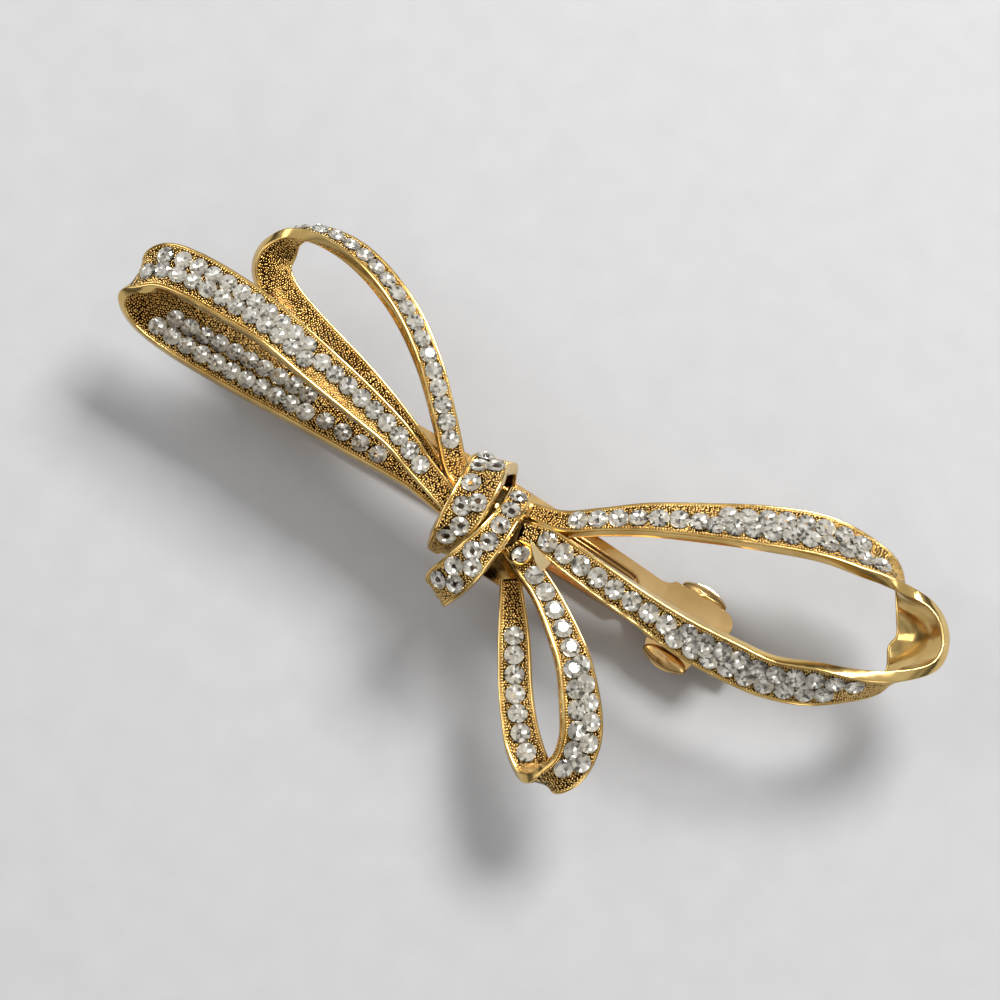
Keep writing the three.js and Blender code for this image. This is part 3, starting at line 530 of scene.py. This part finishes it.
# ---- stones ----
def cut_stone():
    """A round cut of unit radius, girdle at height 0: (points, faces by kind)."""
    girdle = [(math.cos(math.pi * k / 8), math.sin(math.pi * k / 8)) for k in range(16)]
    points, kinds = [], {"crown": [], "pavilion": []}
    for k in range(8):
        points.append((0.56 * girdle[2 * k][0], 0.56 * girdle[2 * k][1], 0.36))
    for k in range(8):
        points.append((0.80 * girdle[2 * k + 1][0], 0.80 * girdle[2 * k + 1][1], 0.22))
    for x, y in girdle:
        points.append((x, y, 0.02))
    for x, y in girdle:
        points.append((x, y, -0.04))
    for k in range(8):
        points.append((0.45 * girdle[2 * k + 1][0], 0.45 * girdle[2 * k + 1][1], -0.20))
    points.append((0, 0, -0.31))
    table, star, top, low, under, culet = 0, 8, 16, 32, 48, 56
    crown, pavilion = kinds["crown"], kinds["pavilion"]
    for k in range(8):
        n = (k + 1) % 8
        b = (k - 1) % 8
        crown.append((table + k, table + n, 57))
        crown.append((table + k, star + k, table + n))
        crown.append((table + k, star + b, top + 2 * k))
        crown.append((table + k, top + 2 * k, star + k))
        crown.append((star + k, top + 2 * k, top + 2 * k + 1))
        crown.append((star + k, top + 2 * k + 1, top + (2 * k + 2) % 16))
        pavilion.append((low + 2 * k, under + k, low + 2 * k + 1))
        pavilion.append((low + 2 * k + 1, under + k, low + (2 * k + 2) % 16))
        pavilion.append((low + 2 * k, under + b, under + k))
        pavilion.append((under + k, under + b, culet))
    for k in range(16):
        n = (k + 1) % 16
        crown.append((top + k, low + k, low + n))
        crown.append((top + k, low + n, top + n))
    points.append((0, 0, 0.36))
    return np.array(points), np.array(crown), np.array(pavilion)


STONE_POINTS, CROWN, PAVILION = cut_stone()


def add_stones(mesh, strip, face, places, bottom):
    """Stones stood on one face of a strip, their backs at height bottom."""
    for distance, offset, radius in places:
        centre, tangent, across, normal, _ = (
            part[0] for part in strip.at(np.array([distance])))
        up = face * normal
        tilt = rng.normal(0, 0.05, 2)
        up = up + tilt[0] * across + tilt[1] * tangent
        up /= np.linalg.norm(up)
        spin = rng.uniform(0, math.pi / 4)
        one = math.cos(spin) * across + math.sin(spin) * tangent
        one -= (one @ up) * up
        one /= np.linalg.norm(one)
        two = np.cross(up, one)
        place = centre + offset * across + face * (bottom + GIRDLE_LIFT) * normal
        shape = STONE_POINTS * radius * STONE_GROWTH
        points = (place + shape[:, :1] * one + shape[:, 1:2] * two + shape[:, 2:] * up)
        # Each pavilion facet gets a fixed brightness from near black to near white: painted glints
        # and painted shade of the stone's inner reflections.
        tones = rng.choice([0.2, 0.55, 0.85, 1.0], len(PAVILION), p=[0.14, 0.16, 0.26, 0.44])
        first = mesh.count
        mesh.add(points, CROWN, slot=0)
        mesh.faces.append(PAVILION + first)
        mesh.slots.append(np.full(len(PAVILION), 1))
        mesh.tones.append(tones)


# ---- materials ----
def shader(name, **settings):
    """A material with one Principled shader, its plain values set on its own sockets."""
    material = bpy.data.materials.new(name)
    material.use_nodes = True
    tree = material.node_tree
    surface = tree.nodes["Principled BSDF"]
    for label, value in settings.items():
        surface.inputs[label.replace("_", " ")].default_value = value
    return material, tree, surface


def node(tree, kind, **settings):
    made = tree.nodes.new(kind)
    for label, value in settings.items():
        if label in made.inputs:
            made.inputs[label].default_value = value
        else:
            setattr(made, label, value)
    return made


def noise(tree, scale, detail=2.0):
    place = node(tree, "ShaderNodeTexCoord")
    made = node(tree, "ShaderNodeTexNoise", Scale=scale, Detail=detail, Roughness=0.5)
    tree.links.new(place.outputs["Object"], made.inputs["Vector"])
    return made.outputs["Fac"]


def ramp(tree, source, *stops):
    made = node(tree, "ShaderNodeValToRGB")
    bands = made.color_ramp.elements
    while len(bands) < len(stops):
        bands.new(0.5)
    for band, (place, colour) in zip(bands, stops):
        band.position = place
        band.color = (*colour, 1.0) if len(colour) == 3 else colour
    tree.links.new(source, made.inputs["Fac"])
    return made.outputs["Color"]


def spread(tree, source, low, high):
    made = node(tree, "ShaderNodeMapRange")
    made.inputs["From Min"].default_value = 0.3
    made.inputs["From Max"].default_value = 0.7
    made.inputs["To Min"].default_value = low
    made.inputs["To Max"].default_value = high
    tree.links.new(source, made.inputs["Value"])
    return made.outputs["Result"]


def bump(tree, surface, source, distance):
    made = node(tree, "ShaderNodeBump", Strength=1.0, Distance=distance)
    tree.links.new(source, made.inputs["Height"])
    tree.links.new(made.outputs["Normal"], surface.inputs["Normal"])


def gold(name, light, deep, rough, patina_shade_colour, waves=0.00006):
    """Plated gold: its tone drifts at random, and its hollows mix to a dark colour that is partly
    patina and partly painted shade.
    """
    material, tree, surface = shader(name, Metallic=1.0)
    tone_and_glint = ramp(tree, noise(tree, 220.0, 3.0), (0.30, deep), (0.72, light))
    # Per-point mask of patina and painted shade in hollows and under grains.
    patina_shade_mask = node(tree, "ShaderNodeAttribute", attribute_name="patina_shade_mask").outputs["Fac"]
    patina_shade_mix = ramp(tree, patina_shade_mask, (0.0, (0, 0, 0)), (0.35, (0.35, 0.35, 0.35)), (1.0, (1, 1, 1)))
    mix = node(tree, "ShaderNodeMix", data_type="RGBA")
    sides = [socket for socket in mix.inputs if socket.type == "RGBA"]
    tree.links.new(patina_shade_mix, mix.inputs["Factor"])
    tree.links.new(tone_and_glint, sides[0])
    # The dark colour stands for patina with painted shade.
    sides[1].default_value = (*patina_shade_colour, 1.0)
    colour = next(socket for socket in mix.outputs if socket.type == "RGBA")
    tree.links.new(colour, surface.inputs["Base Color"])
    tree.links.new(spread(tree, noise(tree, 900.0, 3.0), *rough), surface.inputs["Roughness"])
    bump(tree, surface, noise(tree, 420.0, 2.0), waves)
    return material


# The last colour of each gold is the dark patina with painted shade in its hollows.
bow_gold = gold("bow_gold", (0.88, 0.64, 0.26), (0.56, 0.36, 0.11), (0.10, 0.24),
                (0.06, 0.03, 0.008))
clip_gold = gold("clip_gold", (0.90, 0.62, 0.28), (0.74, 0.46, 0.17), (0.14, 0.26),
                 (0.12, 0.07, 0.02), waves=0.00003)
mirror_gold = gold("polished_gold", (0.96, 0.76, 0.44), (0.90, 0.66, 0.32), (0.08, 0.16),
                   (0.12, 0.07, 0.02), waves=0.00002)

crystal, tree, surface = shader("crystal", IOR=1.56, Transmission_Weight=1.0, Roughness=0.0)
tree.links.new(
    ramp(tree, noise(tree, 600.0), (0.3, (0.95, 0.96, 0.99)), (0.7, (1.0, 1.0, 1.0))),
    surface.inputs["Base Color"])

# The foil's colour runs from near black to warm white by facet: painted reflections and shade in
# the stone.
foil, tree, surface = shader("stone_foil", Metallic=0.72)
tone_and_glint = node(tree, "ShaderNodeAttribute", attribute_name="tone_and_glint").outputs["Fac"]
tree.links.new(
    ramp(tree, tone_and_glint, (0.0, (0.03, 0.025, 0.02)), (0.5, (0.50, 0.46, 0.38)),
         (1.0, (1.0, 0.96, 0.85))),
    surface.inputs["Base Color"])
tree.links.new(spread(tree, noise(tree, 1500.0), 0.05, 0.16), surface.inputs["Roughness"])

# ---- the bow ----
stones_on = {}
for name in STONE_ROWS:
    strip, face, places = stone_places(name)
    stones_on.setdefault((STONE_ROWS[name][0], face), []).extend(places)
for name in KNOT_STONES:
    stones_on[(name, 1)] = knot_places(name)[2]

for name, strip in strips.items():
    smooth_face = -1 if name == "right_loop" else 0
    ribbon = ribbon_mesh(strip, smooth_face=smooth_face).piece(f"{name}_ribbon", [bow_gold])
    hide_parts(name)
    for face, side in ((1, "front"), (-1, "back")):
        if face == smooth_face or (name.startswith("knot") and face < 0):
            continue
        stones = stones_on.get((name, face), [])
        start, end = END_MARGIN, strip.length - END_MARGIN
        mesh = Mesh()
        add_granules(mesh, strip, face, start, end, stones)
        add_milgrain(mesh, strip, face, start, end)
        grains = mesh.piece(f"{name}_{side}_grains", [bow_gold])

for name in STONE_ROWS:
    strip, face, places = stone_places(name)
    mesh = Mesh()
    add_stones(mesh, strip, face, places, LOOP_STONE_SEAT)
    stones = mesh.piece(f"{name}_cut", [crystal, foil], smooth=False)
    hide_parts(name)
for name in KNOT_STONES:
    strip, face, places = knot_places(name)
    mesh = Mesh()
    add_stones(mesh, strip, face, places, KNOT_STONE_SEAT)
    stones = mesh.piece(f"{name}_stones", [crystal, foil], smooth=False)
    label = name.replace("knot_band_", "")
    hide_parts(*[f"knot_{label}_stone_{k + 1}" for k in range(len(places))])

strip = strips["small_loop"]
mesh = Mesh()
add_stones(mesh, strip, 1, [(CUP_DISTANCE, 0.0, CUP_STONE_RADIUS)], CUP_STONE_SEAT)
stones = mesh.piece("stone_in_cup_cut", [crystal, foil], smooth=False)
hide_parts("stone_in_cup")

# ---- the clip's pressed lines, a painted-shade sheet in its groove, and its domed wings ----
def arch_top(x):
    """The bar's top at a place along the clip, level over the pad."""
    x = np.minimum(x, PAD_START)
    fall = CROWN_HEIGHT - HINGE_HEIGHT
    radius = ((PIN_X - CROWN_X) ** 2 + fall ** 2) / (2 * fall)
    return CROWN_HEIGHT - radius + np.sqrt(radius ** 2 - (x - CROWN_X) ** 2)


def rounded_path(start, end, half, step=0.4):
    """A closed path in plan round a slot with round ends."""
    straight = np.arange(start + half, end - half, step)
    turn = np.linspace(-math.pi / 2, math.pi / 2, 10)
    path = [(x, -half) for x in straight]
    path += [(end - half + half * math.cos(a), half * math.sin(a)) for a in turn]
    path += [(x, half) for x in straight[::-1]]
    path += [(start + half - half * math.cos(a), -half * math.sin(a)) for a in turn]
    return np.array(path)


def add_bead(mesh, path, lift, radius):
    """A round bead that runs along a closed path on the bar's top."""
    ahead = np.roll(path, -1, axis=0) - np.roll(path, 1, axis=0)
    ahead /= np.linalg.norm(ahead, axis=1)[:, None]
    side = np.stack([-ahead[:, 1], ahead[:, 0]], axis=1)
    around = np.linspace(0, 2 * math.pi, 8, endpoint=False)
    plan = path[:, None] + side[:, None] * (radius * np.cos(around))[None, :, None]
    height = arch_top(path[:, 0])[:, None] + lift + radius * np.sin(around)[None]
    points = np.dstack([plan, height[..., None]]) + SHIFT
    rings, count = points.shape[:2]
    faces = sweep_faces(rings, count)
    j = np.arange(count)
    seam = np.stack([(rings - 1) * count + j, (rings - 1) * count + (j + 1) % count,
                     (j + 1) % count, j], axis=1)
    mesh.add(points.reshape(-1, 3), np.vstack([faces, seam]))


def add_groove_shade(mesh, start, end, inner, outer):
    """A dark sheet on the groove's floor, each side of its middle rib: painted shade in the groove,
    with patina.
    """
    for low, high in ((inner, outer), (-outer, -inner)):
        x = np.arange(start, end, 0.5)
        y = np.linspace(low, high, 4)
        gx, gy = np.meshgrid(x, y, indexing="ij")
        gz = arch_top(gx) - GROOVE_DEPTH + 0.015
        points = np.stack([gx, gy, gz], axis=2) + SHIFT
        i, k = np.meshgrid(np.arange(len(x) - 1), np.arange(3), indexing="ij")
        here = (i * 4 + k).ravel()
        mesh.add(points.reshape(-1, 3), np.stack([here, here + 4, here + 5, here + 1], axis=1),
                 np.full(len(x) * 4, 0.75))


mesh = Mesh()
add_bead(mesh, rounded_path(GROOVE_START, GROOVE_END, GROOVE_HALF), 0.0, 0.13)
add_bead(mesh, rounded_path(GROOVE_START + 0.45, GROOVE_END - 0.45, GROOVE_HALF - 0.42),
         -0.12, 0.11)
add_bead(mesh, rounded_path(GROOVE_START + 0.9, GROOVE_END - 0.9, RIB_HALF), 0.0, 0.10)
# A dark sheet laid in the groove as painted shade.
add_groove_shade(mesh, GROOVE_START + 0.6, GROOVE_END - 0.6, RIB_HALF, GROOVE_HALF)
lines = mesh.piece("pressed_lines_and_groove_shade", [clip_gold])

def wing_dome(name, sign, rings=12, spokes=40):
    """A low creased dome on a wing's finger lobe, on the side of the clip that sign gives."""
    low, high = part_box(f"clasp_wing_{name}")
    tip = abs((high.y if sign > 0 else low.y) / MM - SHIFT[1]) - DOME_MARGIN
    middle_y = (DOME_ROOT + tip) / 2
    half_y, half_x = (tip - DOME_ROOT) / 2, LOBE_HALF - 0.15
    points = []
    slope = math.tan(math.radians(LOBE_DIP))
    top = high.z / MM
    for ring in range(rings + 1):
        share = ring / rings
        for spoke in range(spokes):
            turn = 2 * math.pi * spoke / spokes
            x = CLASP_X + half_x * share * math.cos(turn)
            y = middle_y + half_y * share * math.sin(turn)
            dome = DOME_RISE * math.sqrt(max(0.0, 1 - share ** 2))
            crease = CREASE_DEPTH * math.cos(3 * turn) * share * (1 - share)
            points.append((x, sign * y, top - slope * (y - 0.85) - 0.04 + dome + crease))
    points = np.array(points) + np.array([SHIFT[0], SHIFT[1], 0.0])
    i, k = np.meshgrid(np.arange(rings), np.arange(spokes), indexing="ij")
    here = (i * spokes + k).ravel()
    beside = (i * spokes + (k + 1) % spokes).ravel()
    quads = np.stack([here, here + spokes, beside + spokes, beside], axis=1)
    mesh = Mesh()
    mesh.add(points, quads if sign > 0 else quads[:, ::-1],
             # Towards the dome's rim the gold darkens: patina with painted shade at the dome's
             # foot.
             np.repeat(np.linspace(0, 1, rings + 1) ** 3 * 0.5, spokes))
    return mesh


for name, sign in (("left", 1), ("right", -1)):
    dome = wing_dome(name, sign).piece(f"wing_{name}_dome", [clip_gold], body=f"wing_{name}")

# ---- the clip and the bow's plain parts keep their CAD shapes ----
KEPT = {
    "top_plate": clip_gold, "hinge_pin": clip_gold, "clasp_arm": clip_gold,
    "tension_spring": clip_gold, "clasp_saddle": clip_gold, "clasp_rivet": clip_gold,
    "clasp_wing_left": clip_gold, "clasp_wing_right": clip_gold,
    "bow_backplate": bow_gold, "knot_core": bow_gold, "corner_lozenge": mirror_gold,
    "stone_cup": bow_gold,
}
for name, material in KEPT.items():
    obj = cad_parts[name]
    obj.data.materials.clear()
    obj.data.materials.append(material)
    bevel = obj.modifiers.new("soft_edges", "BEVEL")
    bevel.width = 0.00008
    bevel.segments = 2
    bevel.limit_method = "ANGLE"
    bevel.angle_limit = math.radians(35)
    for polygon in obj.data.polygons:
        polygon.use_smooth = True
    normals = obj.modifiers.new("even_normals", "WEIGHTED_NORMAL")
    normals.keep_sharp = True

# ---- floor ----
floor_mesh = bpy.data.meshes.new("floor")
REACH, FLOOR_DROP = 3.0, 0.00002
floor_mesh.from_pydata(
    [(-REACH, -REACH, 0), (REACH, -REACH, 0), (REACH, REACH, 0), (-REACH, REACH, 0)],
    [], [(0, 1, 2, 3)])
floor = bpy.data.objects.new("floor", floor_mesh)
bpy.context.scene.collection.objects.link(floor)
floor.location.z = -FLOOR_DROP
paper, tree, surface = shader("paper", Roughness=0.85)
tree.links.new(
    ramp(tree, noise(tree, 250.0, 4.0), (0.3, (0.415, 0.415, 0.42)),
         (0.7, (0.435, 0.435, 0.44))),
    surface.inputs["Base Color"])
floor_mesh.materials.append(paper)

# ---- light ----
world = bpy.data.worlds.new("studio")
bpy.context.scene.world = world
world.use_nodes = True
tree = world.node_tree
sky = tree.nodes["Background"]
facing = node(tree, "ShaderNodeTexCoord").outputs["Generated"]
height = node(tree, "ShaderNodeSeparateXYZ")
tree.links.new(facing, height.inputs["Vector"])
tree.links.new(
    ramp(tree, height.outputs["Z"], (0.0, (0.10, 0.10, 0.10)), (0.28, (0.14, 0.14, 0.14)),
         (0.42, (0.55, 0.55, 0.55)), (0.58, (0.26, 0.26, 0.26)), (0.80, (0.72, 0.72, 0.72)),
         (1.0, (0.60, 0.60, 0.60))),
    sky.inputs["Color"])
sky.inputs["Strength"].default_value = 0.95

LOOK_HEIGHT = 0.008
middle = Vector((SHIFT[0] * MM, SHIFT[1] * MM, LOOK_HEIGHT))


def lamp(name, direction, distance, size, power, colour=(1.0, 1.0, 1.0)):
    data = bpy.data.lights.new(name, "AREA")
    data.shape = "RECTANGLE"
    data.size, data.size_y = size
    data.energy = power
    data.color = colour
    obj = bpy.data.objects.new(name, data)
    bpy.context.scene.collection.objects.link(obj)
    way = Vector(direction).normalized()
    obj.location = middle + way * distance
    obj.rotation_euler = way.to_track_quat("Z", "Y").to_euler()


lamp("key", (0.10, 1.0, 1.05), 0.70, (0.30, 0.24), 6.6)
lamp("fill", (-1.0, -0.15, 0.9), 0.9, (0.5, 0.5), 1.9)
lamp("edge", (0.9, -0.9, 0.7), 0.9, (0.25, 0.5), 1.3)

# ---- camera ----
AZIMUTH, ELEVATION = math.radians(32.5), math.radians(75.0)
CAMERA_DISTANCE, AIM_RIGHT, AIM_BELOW = 0.437, 0.000378, 0.0000525
back = Vector((math.sin(AZIMUTH) * math.cos(ELEVATION),
               -math.cos(AZIMUTH) * math.cos(ELEVATION), math.sin(ELEVATION)))
right = Vector((math.cos(AZIMUTH), math.sin(AZIMUTH), 0))
above = Vector((-math.sin(AZIMUTH) * math.sin(ELEVATION),
                math.cos(AZIMUTH) * math.sin(ELEVATION), math.cos(ELEVATION)))
aim = middle + right * AIM_RIGHT - above * AIM_BELOW
camera_data = bpy.data.cameras.new("camera")
camera_data.lens = 149.8
camera_data.sensor_width = 36.0
camera = bpy.data.objects.new("camera", camera_data)
bpy.context.scene.collection.objects.link(camera)
camera.location = aim + back * CAMERA_DISTANCE
camera.rotation_euler = back.to_track_quat("Z", "Y").to_euler()
bpy.context.scene.camera = camera
bpy.context.scene.view_settings.view_transform = "Standard"
